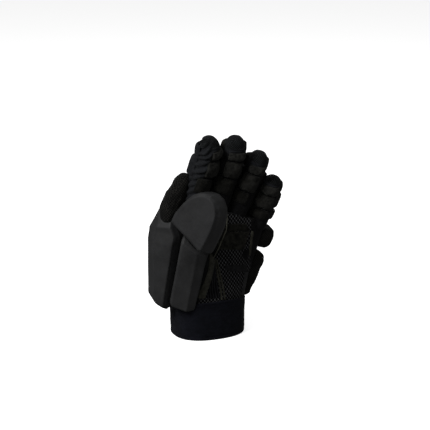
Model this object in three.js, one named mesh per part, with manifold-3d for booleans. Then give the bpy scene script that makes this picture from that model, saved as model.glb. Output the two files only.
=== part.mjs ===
// A padded field hockey glove for the left hand, standing on the rim of its cuff as it does on a table.
// The hand part is hollow, with an open wrist, four hollow fingers and a hollow thumb held across the palm.
// Foam pads cover the back of the hand and of each finger, and three moulded foam plates guard the thumb.
// Millimetres. +Z runs from the cuff to the fingertips, the palm faces -Y and the thumb is on the -X side.

import * as THREE from "three";
import { mergeVertices } from "three/addons/utils/BufferGeometryUtils.js";
import Module from "manifold-3d";

const wasm = await Module();
wasm.setup();

// Walls and gaps
const gap = 0.35; // kept between neighbouring pieces
const fabric = 2.2; // padded fabric of the hand, fingers and thumb
const cuffWall = 3.4; // doubled neoprene of the cuff

// The cuff is an upright oval band. Its top edge slopes down from the palm to the back of the hand.
const cuff = { width: 41.5, depth: 34, flare: 1.5, top: 38.5, topSlope: -0.2 };

// The line of the knuckles, where the fingers leave the hand, slopes down to the little finger.
const knuckleLine = { x: 20, z: 141, slope: -0.36 };

const handSides = 24;
const fingerSides = 12;
const squareness = 2.4; // 2 is an ellipse, more is boxier

// Sections of the hand from the wrist to the knuckles: centre, half-width, and depth to the palm and to the back
const handSections = [
  { z: 24, x: 0, y: 0, width: 41.2, palm: 33.5, back: 33.5 },
  { z: 46, x: 0, y: 0, width: 42.5, palm: 33, back: 33 },
  { z: 62, x: 2.5, y: -0.5, width: 44, palm: 30.5, back: 30 },
  { z: 80, x: 6, y: -1, width: 47, palm: 27.5, back: 27 },
  { z: 98, x: 10.5, y: -1.5, width: 50, palm: 24.5, back: 24 },
  { z: 114, x: 15, y: -2, width: 51.5, palm: 21.5, back: 21.5 },
  { z: 128, x: 18.5, y: -3.5, width: 53, palm: 18.5, back: 19.5 },
  { z: 144, x: 20, y: -4, width: 54.5, palm: 17, back: 18 },
  { z: 162, x: 21, y: -5, width: 55, palm: 16, back: 17 },
];

// The ball of the thumb, a mound that swells out of the palm and leads into the thumb
const thumbMound = {
  joints: [
    [-8, -8, 50],
    [-18, -18, 76],
    [-30, -31, 104],
  ],
  facing: { azimuth: -50, elevation: 10 },
  profile: [
    { along: 0, width: 8, palm: 8, back: 8 },
    { along: 0.08, width: 14, palm: 14, back: 14 },
    { along: 0.3, width: 19, palm: 19, back: 17 },
    { along: 0.6, width: 18.5, palm: 18, back: 16 },
    { along: 0.85, width: 15.5, palm: 15, back: 13.5 },
    { along: 1, width: 10, palm: 10, back: 9 },
  ],
};

// The thumb, from the ball of the thumb to its tip. It faces the way its nail does.
const thumb = {
  joints: [
    [-20, -19, 80],
    [-30, -32, 106],
    [-28, -45, 137],
    [-22, -50, 169],
  ],
  facing: { azimuth: -50, elevation: 12 },
  profile: [
    { along: 0, width: 14, palm: 14, back: 13 },
    { along: 0.2, width: 13.5, palm: 13.5, back: 12.6 },
    { along: 0.4, width: 12.6, palm: 12.6, back: 12 },
    { along: 0.56, width: 12, palm: 11.4, back: 11.6 },
    { along: 0.72, width: 12, palm: 12.4, back: 11.6 },
    { along: 0.86, width: 11, palm: 11.4, back: 10.8 },
    { along: 0.94, width: 8.4, palm: 8.6, back: 8.2 },
    { along: 0.985, width: 4.8, palm: 4.8, back: 4.6 },
    { along: 1, width: 1, palm: 1, back: 1 },
  ],
};

// The long pad on the thumb side of the forefinger, from its middle joint down past the knuckle
const sidePad = {
  joints: [
    [-25.5, -5, 187],
    [-36.5, -4, 171],
    [-45.8, -6, 155],
    [-52, -5, 135],
  ],
  facing: { azimuth: -80, elevation: 15 },
  profile: [
    { along: 0, width: 3, palm: 3, back: 3 },
    { along: 0.05, width: 7.5, palm: 7, back: 5.5 },
    { along: 0.2, width: 11, palm: 11, back: 8 },
    { along: 0.45, width: 12.6, palm: 13, back: 9 },
    { along: 0.75, width: 12.6, palm: 16, back: 9 },
    { along: 0.93, width: 10.5, palm: 17, back: 7 },
    { along: 1, width: 6, palm: 16, back: 4 },
  ],
};

// The fingers: knuckle, turn of the palm side about the finger, half-width and half-depth of the tube, thickness of the
// foam on its back and how far it spreads towards the little finger and the thumb, how many corners its two upper grip
// pads sit towards the little finger, the places of its two creases, and the three bones with the length of each, its lean
// towards the little finger and its bend towards the palm. Places along a finger are shares of its length.
const fingers = [
  {
    name: "index", x: -27, y: -3, z: 138, turn: 14, width: 12.4, depth: 12.8, pad: 4.6, spread: [2.6, 0.8], grip: 1,
    creases: [0.515, 0.752],
    bones: [
      { length: 50, lean: 14, bend: 11 },
      { length: 27, lean: 8, bend: 17 },
      { length: 23, lean: -8, bend: 16 },
    ],
  },
  {
    name: "middle", x: 3, y: -4, z: 134, turn: -10, width: 12.6, depth: 13, pad: 8, spread: [1.4, 2.6], grip: 0,
    creases: [0.505, 0.748],
    bones: [
      { length: 51, lean: 19, bend: 10 },
      { length: 28, lean: 13, bend: 18 },
      { length: 23.5, lean: 2, bend: 20 },
    ],
  },
  {
    name: "ring", x: 26.5, y: -5, z: 124, turn: -20, width: 11.8, depth: 12.4, pad: 8, spread: [2.6, 1.6], grip: 0,
    creases: [0.475, 0.735],
    bones: [
      { length: 44.5, lean: 24, bend: 10 },
      { length: 27, lean: 23, bend: 20 },
      { length: 22.5, lean: 16, bend: 24 },
    ],
  },
  {
    name: "little", x: 53, y: -5, z: 108, turn: -30, width: 10.9, depth: 11.4, pad: 7.5, spread: [0.8, 2.6], grip: 0,
    creases: [0.475, 0.728],
    bones: [
      { length: 37, lean: 24, bend: 12 },
      { length: 20.5, lean: 24, bend: 22 },
      { length: 19.5, lean: 20, bend: 26 },
    ],
  },
];
const bendLength = 7; // half the length over which a joint bends

// The shape of a finger tube along its length, as shares of its half-width and half-depth.
// The palm side pinches in at the two creases and rounds over at the tip.
const fingerProfile = ([first, second]) => [
  { along: 0, width: 1, palm: 1, back: 1 },
  { along: 0.22, width: 1, palm: 1.04, back: 1 },
  { along: first - 0.065, width: 0.98, palm: 1, back: 0.98 },
  { along: first, width: 0.96, palm: 0.88, back: 0.97 },
  { along: first + 0.065, width: 0.98, palm: 1, back: 0.96 },
  { along: (first + second) / 2, width: 0.99, palm: 1.03, back: 0.95 },
  { along: second - 0.055, width: 0.97, palm: 0.98, back: 0.94 },
  { along: second, width: 0.96, palm: 0.88, back: 0.93 },
  { along: second + 0.055, width: 0.97, palm: 0.98, back: 0.92 },
  { along: 0.87, width: 0.92, palm: 0.95, back: 0.88 },
  { along: 0.93, width: 0.8, palm: 0.82, back: 0.78 },
  { along: 0.975, width: 0.56, palm: 0.58, back: 0.54 },
  { along: 1, width: 0.16, palm: 0.16, back: 0.16 },
];

// Foam pads on the back of each finger, as high as that share of its foam, and thin grip pads on its palm side, one for
// each bone
const backPads = [
  { bone: "near", from: 0.22, to: 0.457, height: 1 },
  { bone: "mid", from: 0.479, to: 0.722, height: 0.85 },
  { bone: "end", from: 0.743, to: 0.9, height: 0.5 },
];
const backPadShape = { low: 0, high: 6, lift: 90, edge: 2.4, bevel: 3, inset: 1.4 };
const nearPadStart = { index: 0.27, middle: 0.24, ring: 0.24, little: 0.3 }; // clear of the hand
const gripPads = ([first, second]) => [
  { bone: "near", from: first - (first > 0.5 ? 0.2 : 0.165), to: first - 0.015 }, // clear of the hand
  { bone: "mid", from: first + 0.015, to: second - 0.015 },
  { bone: "end", from: second + 0.015, to: 0.895 },
];
const gripPadShape = { low: 7, high: 11, lift: 270, thickness: 1.8, edge: 1, spread: [0, 0], bevel: 2, inset: 0 };

const palmPatch = {
  from: 99, to: 130, low: 17, high: 20, lift: 270, thickness: 1.4, edge: 0.7, spread: [0, 0], bevel: 2, inset: 0,
};

const degrees = THREE.MathUtils.degToRad;

// A unit vector that points away from the object: azimuth 0 is -Y, the way the palm faces, and -90 is -X
function direction({ azimuth, elevation }) {
  const a = degrees(azimuth);
  const e = degrees(elevation);
  return new THREE.Vector3(Math.sin(a) * Math.cos(e), -Math.cos(a) * Math.cos(e), Math.sin(e));
}

function solidFrom(geometry) {
  const bare = new THREE.BufferGeometry();
  bare.setAttribute("position", geometry.getAttribute("position"));
  bare.setIndex(geometry.index);
  const merged = mergeVertices(bare, 1e-4);
  const vertProperties = new Float32Array(merged.getAttribute("position").array);
  const triVerts = new Uint32Array(merged.index.array);
  return new wasm.Manifold(new wasm.Mesh({ numProp: 3, vertProperties, triVerts }));
}

// The largest body of a solid, without the slivers that a cut leaves
function largest(solid) {
  return solid.decompose().reduce((best, body) => (body.volume() > best.volume() ? body : best));
}

function geometryFrom(solid) {
  const mesh = solid.getMesh();
  const geometry = new THREE.BufferGeometry();
  const positions = new Float32Array(mesh.numVert * 3);
  for (let v = 0; v < mesh.numVert; v++) {
    positions.set(mesh.vertProperties.subarray(v * mesh.numProp, v * mesh.numProp + 3), v * 3);
  }
  geometry.setAttribute("position", new THREE.BufferAttribute(positions, 3));
  geometry.setIndex(new THREE.BufferAttribute(mesh.triVerts, 1));
  geometry.computeVertexNormals();
  return geometry;
}

// A closed solid through rings of points that run anticlockwise seen from the last ring
function ringSolid(rings) {
  const sides = rings[0].length;
  const points = rings.flat();
  const faces = [];
  for (let r = 0; r + 1 < rings.length; r++) {
    for (let i = 0; i < sides; i++) {
      const a = r * sides + i;
      const b = r * sides + ((i + 1) % sides);
      faces.push(a, b, b + sides, a, b + sides, a + sides);
    }
  }
  const centre = (ring) => ring.reduce((sum, p) => sum.add(p), new THREE.Vector3()).divideScalar(sides);
  const first = points.push(centre(rings[0])) - 1;
  const last = points.push(centre(rings[rings.length - 1])) - 1;
  const top = (rings.length - 1) * sides;
  for (let i = 0; i < sides; i++) {
    faces.push(first, (i + 1) % sides, i);
    faces.push(last, top + i, top + ((i + 1) % sides));
  }
  return solidFrom(indexedGeometry(points, faces));
}

function indexedGeometry(points, faces) {
  const geometry = new THREE.BufferGeometry();
  geometry.setFromPoints(points);
  geometry.setIndex(faces);
  return geometry;
}

// A limb is a list of stations along a tube. Each has its place s along the tube, its centre, the directions of its
// side and back, and its half-sizes. Every soft main form is a limb: the cuff, hand, mound, thumb and fingers.
function stationRing(station, sides, offset) {
  const ring = [];
  for (let i = 0; i < sides; i++) {
    const angle = (i / sides) * 2 * Math.PI;
    const c = Math.cos(angle);
    const s = Math.sin(angle);
    const width = Math.max(station.width + offset, 0.05);
    const depth = Math.max((s > 0 ? station.back : station.palm) + offset, 0.05);
    const point = station.centre.clone();
    point.addScaledVector(station.sideways, width * Math.sign(c) * Math.abs(c) ** (2 / squareness));
    point.addScaledVector(station.backwards, depth * Math.sign(s) * Math.abs(s) ** (2 / squareness));
    ring.push(point);
  }
  return ring;
}

function limbSolid(limb, sides, offset) {
  return ringSolid(limb.map((station) => stationRing(station, sides, offset)));
}

// The ring at any place along a limb, on the flat facets between its stations
function ringAt(limb, sides, s, offset) {
  const next = Math.max(1, limb.findIndex((station) => station.s >= s));
  const [below, above] = [limb[next - 1], limb[next]];
  const share = (s - below.s) / (above.s - below.s);
  const lower = stationRing(below, sides, offset);
  const upper = stationRing(above, sides, offset);
  return lower.map((point, i) => point.lerp(upper[i], share));
}

// A pad that lies on a limb from s = from to s = to, and from corner low to corner high of its section. Its underside
// follows the limb's facets, and it rises along the lift angle of the section: 0 is sideways, 90 back and 270 palm.
// It spreads beyond the limb by the two amounts at its low and high corner, and by what lies between them elsewhere.
function padSolid(limb, sides, { from, to, low, high, lift, thickness, edge, spread, bevel, inset }) {
  const within = limb.map((station) => station.s).filter((s) => s > from + bevel + 0.6 && s < to - bevel - 0.6);
  const rows = [from, from + bevel, ...within, to - bevel, to];
  const columns = high - low + 1;
  const under = [];
  const over = [];
  rows.forEach((s, row) => {
    const ring = ringAt(limb, sides, s, gap);
    const station = limb[Math.max(0, limb.findIndex((one) => one.s >= s))];
    const up = station.sideways.clone().multiplyScalar(Math.cos(degrees(lift)));
    up.addScaledVector(station.backwards, Math.sin(degrees(lift)));
    const along = station.along;
    for (let c = 0; c < columns; c++) {
      const corner = (low + c + sides) % sides;
      const border = row === 0 || row === rows.length - 1 || c === 0 || c === columns - 1;
      const spreadHere = THREE.MathUtils.lerp(spread[0], spread[1], c / (columns - 1));
      const raised = ringAt(limb, sides, s, gap + spreadHere)[corner].addScaledVector(up, border ? edge : thickness);
      if (row === 0) raised.addScaledVector(along, inset);
      if (row === rows.length - 1) raised.addScaledVector(along, -inset);
      under.push(ring[corner]);
      over.push(raised);
    }
  });
  const points = [...under, ...over];
  const lifted = under.length;
  const faces = [];
  for (let r = 0; r + 1 < rows.length; r++) {
    for (let c = 0; c + 1 < columns; c++) {
      const a = r * columns + c;
      const [b, d, e] = [a + 1, a + columns + 1, a + columns];
      faces.push(a, d, b, a, e, d);
      faces.push(lifted + a, lifted + b, lifted + d, lifted + a, lifted + d, lifted + e);
    }
  }
  const rim = [];
  for (let c = 0; c + 1 < columns; c++) rim.push(c);
  for (let r = 0; r + 1 < rows.length; r++) rim.push(r * columns + columns - 1);
  for (let c = columns - 1; c > 0; c--) rim.push((rows.length - 1) * columns + c);
  for (let r = rows.length - 1; r > 0; r--) rim.push(r * columns);
  rim.forEach((a, i) => {
    const b = rim[(i + 1) % rim.length];
    faces.push(a, b, lifted + b, a, lifted + b, lifted + a);
  });
  return solidFrom(indexedGeometry(points, faces));
}

// The stations of a finger, walked along its three bones in small steps that turn at the joints
function fingerLimb({ x, y, z, turn, width, depth, creases, bones }) {
  const joints = [bones[0].length, bones[0].length + bones[1].length];
  const length = joints[1] + bones[2].length;
  const blend = (key, s) => {
    const turned = joints.map((joint) => THREE.MathUtils.smoothstep(s, joint - bendLength, joint + bendLength));
    const [near, mid, end] = bones.map((bone) => bone[key]);
    return degrees(near + (mid - near) * turned[0] + (end - mid) * turned[1]);
  };
  const frameAt = (s) => {
    const lean = blend("lean", s);
    const bend = blend("bend", s);
    const up = new THREE.Vector3(Math.sin(lean), 0, Math.cos(lean));
    const palm = new THREE.Vector3(0, -1, 0).applyAxisAngle(up, degrees(turn));
    return {
      along: up.clone().multiplyScalar(Math.cos(bend)).addScaledVector(palm, Math.sin(bend)),
      backwards: up.clone().multiplyScalar(Math.sin(bend)).addScaledVector(palm, -Math.cos(bend)),
    };
  };
  const centre = new THREE.Vector3(x, y, z);
  const limb = [];
  let walked = 0;
  for (const row of fingerProfile(creases)) {
    const s = row.along * length;
    const steps = Math.ceil(s - walked);
    for (let step = 0; step < steps; step++) {
      centre.addScaledVector(frameAt(walked + ((step + 0.5) * (s - walked)) / steps).along, (s - walked) / steps);
    }
    walked = s;
    const { along, backwards } = frameAt(s);
    limb.push({
      s,
      centre: centre.clone(),
      along,
      backwards,
      sideways: backwards.clone().cross(along),
      width: width * row.width,
      palm: depth * row.palm,
      back: depth * row.back,
    });
  }
  return limb;
}

// The stations of a limb that runs through given joints on a smooth curve, with its back facing one way
function jointedLimb({ joints, facing, profile }) {
  const curve = new THREE.CatmullRomCurve3(joints.map((joint) => new THREE.Vector3(...joint)));
  const outward = direction(facing);
  const length = curve.getLength();
  return profile.map((row) => {
    const along = curve.getTangentAt(row.along);
    const backwards = outward.clone().addScaledVector(along, -outward.dot(along)).normalize();
    return {
      s: row.along * length,
      centre: curve.getPointAt(row.along),
      along,
      backwards,
      sideways: backwards.clone().cross(along),
      width: row.width,
      palm: row.palm,
      back: row.back,
    };
  });
}

// The stations of an upright limb: the hand and the cuff
function uprightLimb(sections) {
  return sections.map(({ x, y, z, width, palm, back }) => ({
    s: z,
    centre: new THREE.Vector3(x, y, z),
    along: new THREE.Vector3(0, 0, 1),
    backwards: new THREE.Vector3(0, 1, 0),
    sideways: new THREE.Vector3(1, 0, 0),
    width,
    palm,
    back,
  }));
}

// Everything below the plane that passes through a point and rises by slopeX and slopeY
function below(point, slopeX, slopeY) {
  const reach = 600;
  const box = new THREE.BoxGeometry(reach, reach, reach);
  box.translate(0, 0, -reach / 2);
  const normal = new THREE.Vector3(-slopeX, -slopeY, 1).normalize();
  box.applyQuaternion(new THREE.Quaternion().setFromUnitVectors(new THREE.Vector3(0, 0, 1), normal));
  box.translate(...point);
  return solidFrom(box);
}

// An outline moved inwards by a distance, or outwards by a negative one. The distance may depend on the way inwards.
function inset(outline, distance) {
  return outline.map((p, i) => {
    const before = outline[(i + outline.length - 1) % outline.length];
    const after = outline[(i + 1) % outline.length];
    const inward = new THREE.Vector2(before.y - after.y, after.x - before.x).normalize();
    return p.clone().addScaledVector(inward, typeof distance === "function" ? distance(inward) : distance);
  });
}

// A moulded plate. Its face and its wider base are outlines drawn anticlockwise in its own plane, with x to the right
// and y up as seen from outside. The face passes through the point at, the base starts a drop below the face, and the
// plate ends a depth below it. What it lies on is cut out of it afterwards.
function plateSolid({ face, base, edge, drop, depth, at, facing, roll }) {
  const level = (points, height) => points.map((p) => new THREE.Vector3(p.x, p.y, height));
  const rings = [level(base, -depth), level(base, -drop), level(face, -edge), level(inset(face, edge), 0)];
  const outward = facing.isVector3 ? facing : direction(facing);
  const right = new THREE.Vector3(0, 0, 1).cross(outward).normalize();
  const upward = outward.clone().cross(right);
  const frame = new THREE.Matrix4().makeBasis(right, upward, outward);
  frame.multiply(new THREE.Matrix4().makeRotationZ(degrees(roll)));
  frame.setPosition(at);
  return ringSolid(rings.map((ring) => ring.map((p) => p.applyMatrix4(frame))));
}

const outline = (corners) => corners.map(([x, y]) => new THREE.Vector2(x, y));

// The outline of the thumb guard: one straight lower edge, and a round top that leans to the right
function guardOutline() {
  const shape = new THREE.Shape();
  shape.moveTo(-27, -2);
  shape.lineTo(8, -29);
  shape.quadraticCurveTo(12, -32, 13.5, -28);
  shape.bezierCurveTo(20, -13, 29, 4, 25.5, 18);
  shape.bezierCurveTo(22, 32.5, 8, 37, -4, 29.5);
  shape.bezierCurveTo(-14, 22, -21, 11, -27.5, 1.5);
  const points = shape.getPoints(5);
  points.pop();
  return points;
}

// A box outline with its corners cut off
function boxOutline(width, height, corner) {
  const [w, h] = [width / 2, height / 2];
  return outline([
    [corner - w, -h], [w - corner, -h], [w, corner - h], [w, h - corner],
    [w - corner, h], [corner - w, h], [-w, h - corner], [-w, corner - h],
  ]);
}

// A plate on the back of a limb: s along it, and a distance across it from its middle towards the little finger, or
// an angle of its section
function platedLimb(limb, { s, across, angle, width, height, corner, thickness, bevel, depth, roll }) {
  const stationAt = (place) => {
    const next = Math.max(1, limb.findIndex((station) => station.s >= place));
    const [below, above] = [limb[next - 1], limb[next]];
    const share = (place - below.s) / (above.s - below.s);
    const blend = (key) => below[key] + (above[key] - below[key]) * share;
    return {
      centre: below.centre.clone().lerp(above.centre, share),
      sideways: below.sideways, backwards: below.backwards, width: blend("width"), back: blend("back"), palm: blend("palm"),
    };
  };
  const surface = (place, turned) => {
    const { centre, sideways, backwards, ...half } = stationAt(place);
    const [c, n] = [Math.cos(turned), Math.sin(turned)];
    centre.addScaledVector(sideways, half.width * Math.sign(c) * Math.abs(c) ** (2 / squareness));
    return centre.addScaledVector(backwards, (n > 0 ? half.back : half.palm) * Math.sign(n) * Math.abs(n) ** (2 / squareness));
  };
  const share = across === undefined ? 0 : across / stationAt(s).width;
  const turned = across === undefined ? degrees(angle) : Math.acos(Math.sign(share) * Math.abs(share) ** (squareness / 2));
  const up = surface(s + 5, turned).sub(surface(s - 5, turned));
  const around = surface(s, turned + 0.1).sub(surface(s, turned - 0.1));
  const outward = around.cross(up).normalize();
  const face = boxOutline(width, height, corner);
  return plateSolid({
    face, base: inset(face, -bevel), edge: 1, drop: bevel * 1.6, depth, roll,
    at: surface(s, turned).addScaledVector(outward, thickness), facing: outward,
  });
}

const limbs = {
  cuff: uprightLimb([
    { z: 0, x: 0, y: 0, width: cuff.width, palm: cuff.depth, back: cuff.depth },
    { z: 50, x: 0, y: 0, width: cuff.width + cuff.flare, palm: cuff.depth + cuff.flare, back: cuff.depth + cuff.flare },
  ]),
  hand: uprightLimb(handSections),
  mound: jointedLimb(thumbMound),
  thumb: jointedLimb(thumb),
  sidePad: jointedLimb(sidePad),
};
for (const finger of fingers) limbs[finger.name] = fingerLimb(finger);

const cuffSeam = [0, 0, cuff.top];
const knuckles = [knuckleLine.x, 0, knuckleLine.z];
const belowSeam = (lift) => below([0, 0, cuff.top + lift], 0, cuff.topSlope);
const belowKnuckles = (lift) => below([knuckleLine.x, 0, knuckleLine.z + lift], knuckleLine.slope, 0);

// The outside of the hand with the ball of the thumb, grown or shrunk by an offset
function handForm(offset) {
  const palm = limbSolid(limbs.hand, handSides, offset).intersect(belowKnuckles(offset));
  return palm.add(limbSolid(limbs.mound, fingerSides, offset));
}

const solids = {};

// Cuff: an open oval band
const cuffOuter = limbSolid(limbs.cuff, handSides, 0);
const cuffInner = limbSolid(uprightLimb([
  { z: -1, x: 0, y: 0, width: cuff.width, palm: cuff.depth, back: cuff.depth },
  { z: 60, x: 0, y: 0, width: cuff.width + cuff.flare, palm: cuff.depth + cuff.flare, back: cuff.depth + cuff.flare },
]), handSides, -cuffWall);
solids.cuff = cuffOuter.intersect(belowSeam(0)).subtract(cuffInner);

// Hand: a hollow shell, open at the wrist and into every finger and the thumb
const fingerHollows = fingers.map((finger) => limbSolid(limbs[finger.name], fingerSides, -fabric));
const thumbHollow = limbSolid(limbs.thumb, fingerSides, -fabric);
let hand = handForm(0).subtract(handForm(-fabric)).subtract(belowSeam(gap));
for (const hollow of [...fingerHollows, thumbHollow]) hand = hand.subtract(hollow);
solids.hand = hand;

// Fingers and thumb: tubes with a closed tip
fingers.forEach((finger, i) => {
  const tube = limbSolid(limbs[finger.name], fingerSides, 0).subtract(fingerHollows[i]);
  solids[finger.name + "_finger"] = tube.subtract(belowKnuckles(gap));
});
solids.thumb = limbSolid(limbs.thumb, fingerSides, 0).subtract(thumbHollow).subtract(handForm(gap));

// Pads of the fingers
for (const finger of fingers) {
  const limb = limbs[finger.name];
  const length = limb[limb.length - 1].s;
  for (const { bone, from, to, height } of backPads) {
    const start = bone === "near" ? nearPadStart[finger.name] : from;
    const spread = finger.spread.map((side) => side * height);
    const shape = { ...backPadShape, spread, thickness: finger.pad * height, from: start * length, to: to * length };
    solids[finger.name + "_back_pad_" + bone] = padSolid(limb, fingerSides, shape);
  }
  for (const { bone, from, to } of gripPads(finger.creases)) {
    const { low, high, lift } = gripPadShape;
    const moved = bone === "near" ? 0 : finger.grip;
    const side = { low: low + moved, high: high + moved, lift: lift + 30 * moved };
    const shape = { ...gripPadShape, ...side, from: from * length, to: to * length };
    solids[finger.name + "_grip_pad_" + bone] = padSolid(limb, fingerSides, shape);
  }
}

// Thin grip patch in the middle of the palm
solids.palm_patch = padSolid(limbs.hand, handSides, palmPatch);

// Plates that guard the thumb. Whatever carries a plate is cut out of its underside.
const guardFace = guardOutline();
const guardFlare = (inward) => -0.8 - 3.8 * Math.max(0, -inward.x); // its base is wider on the right only
const plates = {
  thumb_guard: {
    face: guardFace, base: inset(guardFace, guardFlare), edge: 1.4, drop: 15, depth: 20,
    at: [-42, -58, 147], facing: { azimuth: -50, elevation: 12 }, roll: 0,
  },
  wrist_plate_palm: {
    face: outline([[-11, -36], [-9.3, -39.3], [8, -42], [9.8, -40], [10.3, 32], [9, 35.6], [-9, 45.3], [-10.4, 43]]),
    base: outline([[-12.3, -37], [-10.3, -41.5], [11, -44], [16.5, -40], [18.5, 32], [13, 37], [-9, 48], [-11.5, 45]]),
    edge: 1.2, drop: 6, depth: 24, at: [-43.7, -37.5, 77.5], facing: { azimuth: -36, elevation: -13 }, roll: -12.2,
  },
  wrist_plate_back: {
    face: outline([[-11.7, -38], [-9, -42.5], [0.2, -46.3], [1.4, -44.5], [15.4, 33], [15, 36.5], [9.6, 48], [-8, 46.5], [-10.3, 43]]),
    base: outline([[-22.5, -34], [-13, -45.5], [1.6, -49.5], [3.6, -47], [18, 32], [17.2, 36.8], [7, 60], [-7, 68], [-22, 42]]),
    edge: 1.2, drop: 8, depth: 24, at: [-59, -12, 86], facing: { azimuth: -54, elevation: 0 }, roll: 0,
  },
};
const plated = (plate, grown) => plateSolid({
  ...plate,
  face: inset(plate.face, -grown),
  base: inset(plate.base, -grown),
  depth: plate.depth + grown,
  at: new THREE.Vector3(...plate.at).addScaledVector(direction(plate.facing), grown),
});
const grownHand = handForm(gap).add(limbSolid(limbs.thumb, fingerSides, gap)).add(limbSolid(limbs.cuff, handSides, gap));
let carried = grownHand;
for (const name of ["thumb_guard", "wrist_plate_palm"]) {
  solids[name] = plated(plates[name], 0).subtract(carried);
  carried = carried.add(plated(plates[name], gap));
}

// The long side pad of the forefinger lies on the finger and the hand, and the other wrist plate reaches up to it
const grownIndex = limbSolid(limbs.index, fingerSides, gap);
const grownSidePad = limbSolid(limbs.sidePad, fingerSides, gap);
solids.index_side_pad = limbSolid(limbs.sidePad, fingerSides, 0).subtract(carried).subtract(grownIndex);
solids.index_back_pad_near = largest(solids.index_back_pad_near.subtract(grownSidePad));
carried = carried.add(grownSidePad);
solids.wrist_plate_back = plated(plates.wrist_plate_back, 0).subtract(carried).subtract(grownIndex);
carried = carried.add(plated(plates.wrist_plate_back, gap));

// Foam pads over the knuckles, on the back of the hand and on its outer edge
const handPads = [
  { name: "knuckle_pad_index", s: 140, across: -41, width: 18, height: 24, roll: 14 },
  { name: "knuckle_pad_middle", s: 133, across: -15, width: 20, height: 25, roll: 16 },
  { name: "knuckle_pad_ring", s: 124, across: 11, width: 20, height: 24, roll: 20 },
  { name: "knuckle_pad_little", s: 114, across: 35, width: 18, height: 22, roll: 22 },
  { name: "back_pad_index", s: 92, across: -33.5, width: 17, height: 58, roll: 10 },
  { name: "back_pad_middle", s: 86, across: -11, width: 17.5, height: 58, roll: 10 },
  { name: "back_pad_ring", s: 80, across: 11, width: 17.5, height: 52, roll: 11 },
  { name: "back_pad_little", s: 72, across: 32, width: 16, height: 42, roll: 12 },
  { name: "outer_pad_knuckle", s: 105, angle: 6, width: 20, height: 18.5, roll: 16, thickness: 15, depth: 18 },
  { name: "outer_pad_hand", s: 63, angle: 2, width: 20, height: 48, roll: 12, thickness: 12, depth: 18 },
];
const handPadShape = { corner: 4, thickness: 9, bevel: 1.8, depth: 14 };
for (const pad of handPads) {
  const solid = platedLimb(limbs.hand, { ...handPadShape, ...pad });
  solids[pad.name] = solid.subtract(carried);
}

const colours = {
  cuff: 0x0c0e12,
  fabric: 0x16171a,
  suede: 0x151510,
  foam: 0x2c2c2d,
};
const materials = Object.fromEntries(Object.entries(colours).map(([name, color]) => [
  name,
  new THREE.MeshStandardMaterial({ color, roughness: name === "foam" ? 0.62 : 0.9, metalness: 0 }),
]));

function materialOf(name) {
  if (name === "cuff") return materials.cuff;
  if (name.includes("plate") || name.includes("guard") || name.startsWith("back_pad")) return materials.foam;
  if (name.includes("pad")) return materials.suede;
  return materials.fabric;
}

const glove = new THREE.Group();
for (const [name, solid] of Object.entries(solids)) {
  const mesh = new THREE.Mesh(geometryFrom(solid), materialOf(name));
  mesh.name = name;
  glove.add(mesh);
}

// The origin is the middle of the glove's bounding box, on the floor that the rim of the cuff stands on
const bounds = new THREE.Box3().setFromObject(glove);
const middle = bounds.getCenter(new THREE.Vector3());
glove.position.set(-middle.x, -middle.y, -bounds.min.z);

export default glove;
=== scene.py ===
# A padded field hockey glove for the left hand, standing on the rim of its cuff.
# Lengths in the tables are millimetres in the glove's own frame. Its origin is the middle of the cuff's rim.

from math import ceil, copysign, cos, exp, pi, radians, sin, sqrt

import bmesh
import bpy
from mathutils import Matrix, Vector, noise
from mathutils.bvhtree import BVHTree


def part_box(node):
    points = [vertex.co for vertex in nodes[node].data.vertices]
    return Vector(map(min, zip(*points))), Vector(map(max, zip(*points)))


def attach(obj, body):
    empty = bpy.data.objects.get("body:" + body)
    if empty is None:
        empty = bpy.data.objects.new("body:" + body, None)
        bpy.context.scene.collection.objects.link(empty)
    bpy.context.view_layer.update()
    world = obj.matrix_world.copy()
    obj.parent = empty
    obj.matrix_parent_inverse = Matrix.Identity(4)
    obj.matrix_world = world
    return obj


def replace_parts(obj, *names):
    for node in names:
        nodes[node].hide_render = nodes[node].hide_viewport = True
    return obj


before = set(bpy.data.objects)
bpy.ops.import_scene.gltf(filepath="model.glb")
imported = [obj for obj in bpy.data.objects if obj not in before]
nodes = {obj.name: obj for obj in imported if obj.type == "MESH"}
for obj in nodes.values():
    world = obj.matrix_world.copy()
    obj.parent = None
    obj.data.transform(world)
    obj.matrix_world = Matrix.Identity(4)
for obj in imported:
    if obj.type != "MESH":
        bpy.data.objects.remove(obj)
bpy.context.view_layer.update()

MM = 0.001
cuff_low, cuff_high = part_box("cuff")
SHIFT = Vector(((cuff_low[0] + cuff_high[0]) * 500, 18.4, 0.0))  # from the cuff's rim to the scene's origin
SQUARENESS = 2.4  # the power of the cross sections: 2 makes ellipses, and more is squarer
CURVE_STEP = 0.5  # the step along centre lines, in mm


def place(p):
    """A point in the glove's own millimetres as a point of the scene in metres."""
    return (Vector(p) + SHIFT) * MM


def own(co):
    """A point of the scene in metres as a point in the glove's own millimetres."""
    return co * 1000 - SHIFT


def direction(azimuth, elevation):
    """A unit vector that points away from the object: azimuth 0 is -Y and -90 is -X."""
    a, e = radians(azimuth), radians(elevation)
    return Vector((sin(a) * cos(e), -cos(a) * cos(e), sin(e)))


def smoothstep(x, low, high):
    t = min(max((x - low) / (high - low), 0.0), 1.0)
    return t * t * (3 - 2 * t)


def bell(x, reach):
    """1 where x is 0, and close to 0 beyond twice the reach."""
    return exp(-((x / reach) ** 2))


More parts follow.
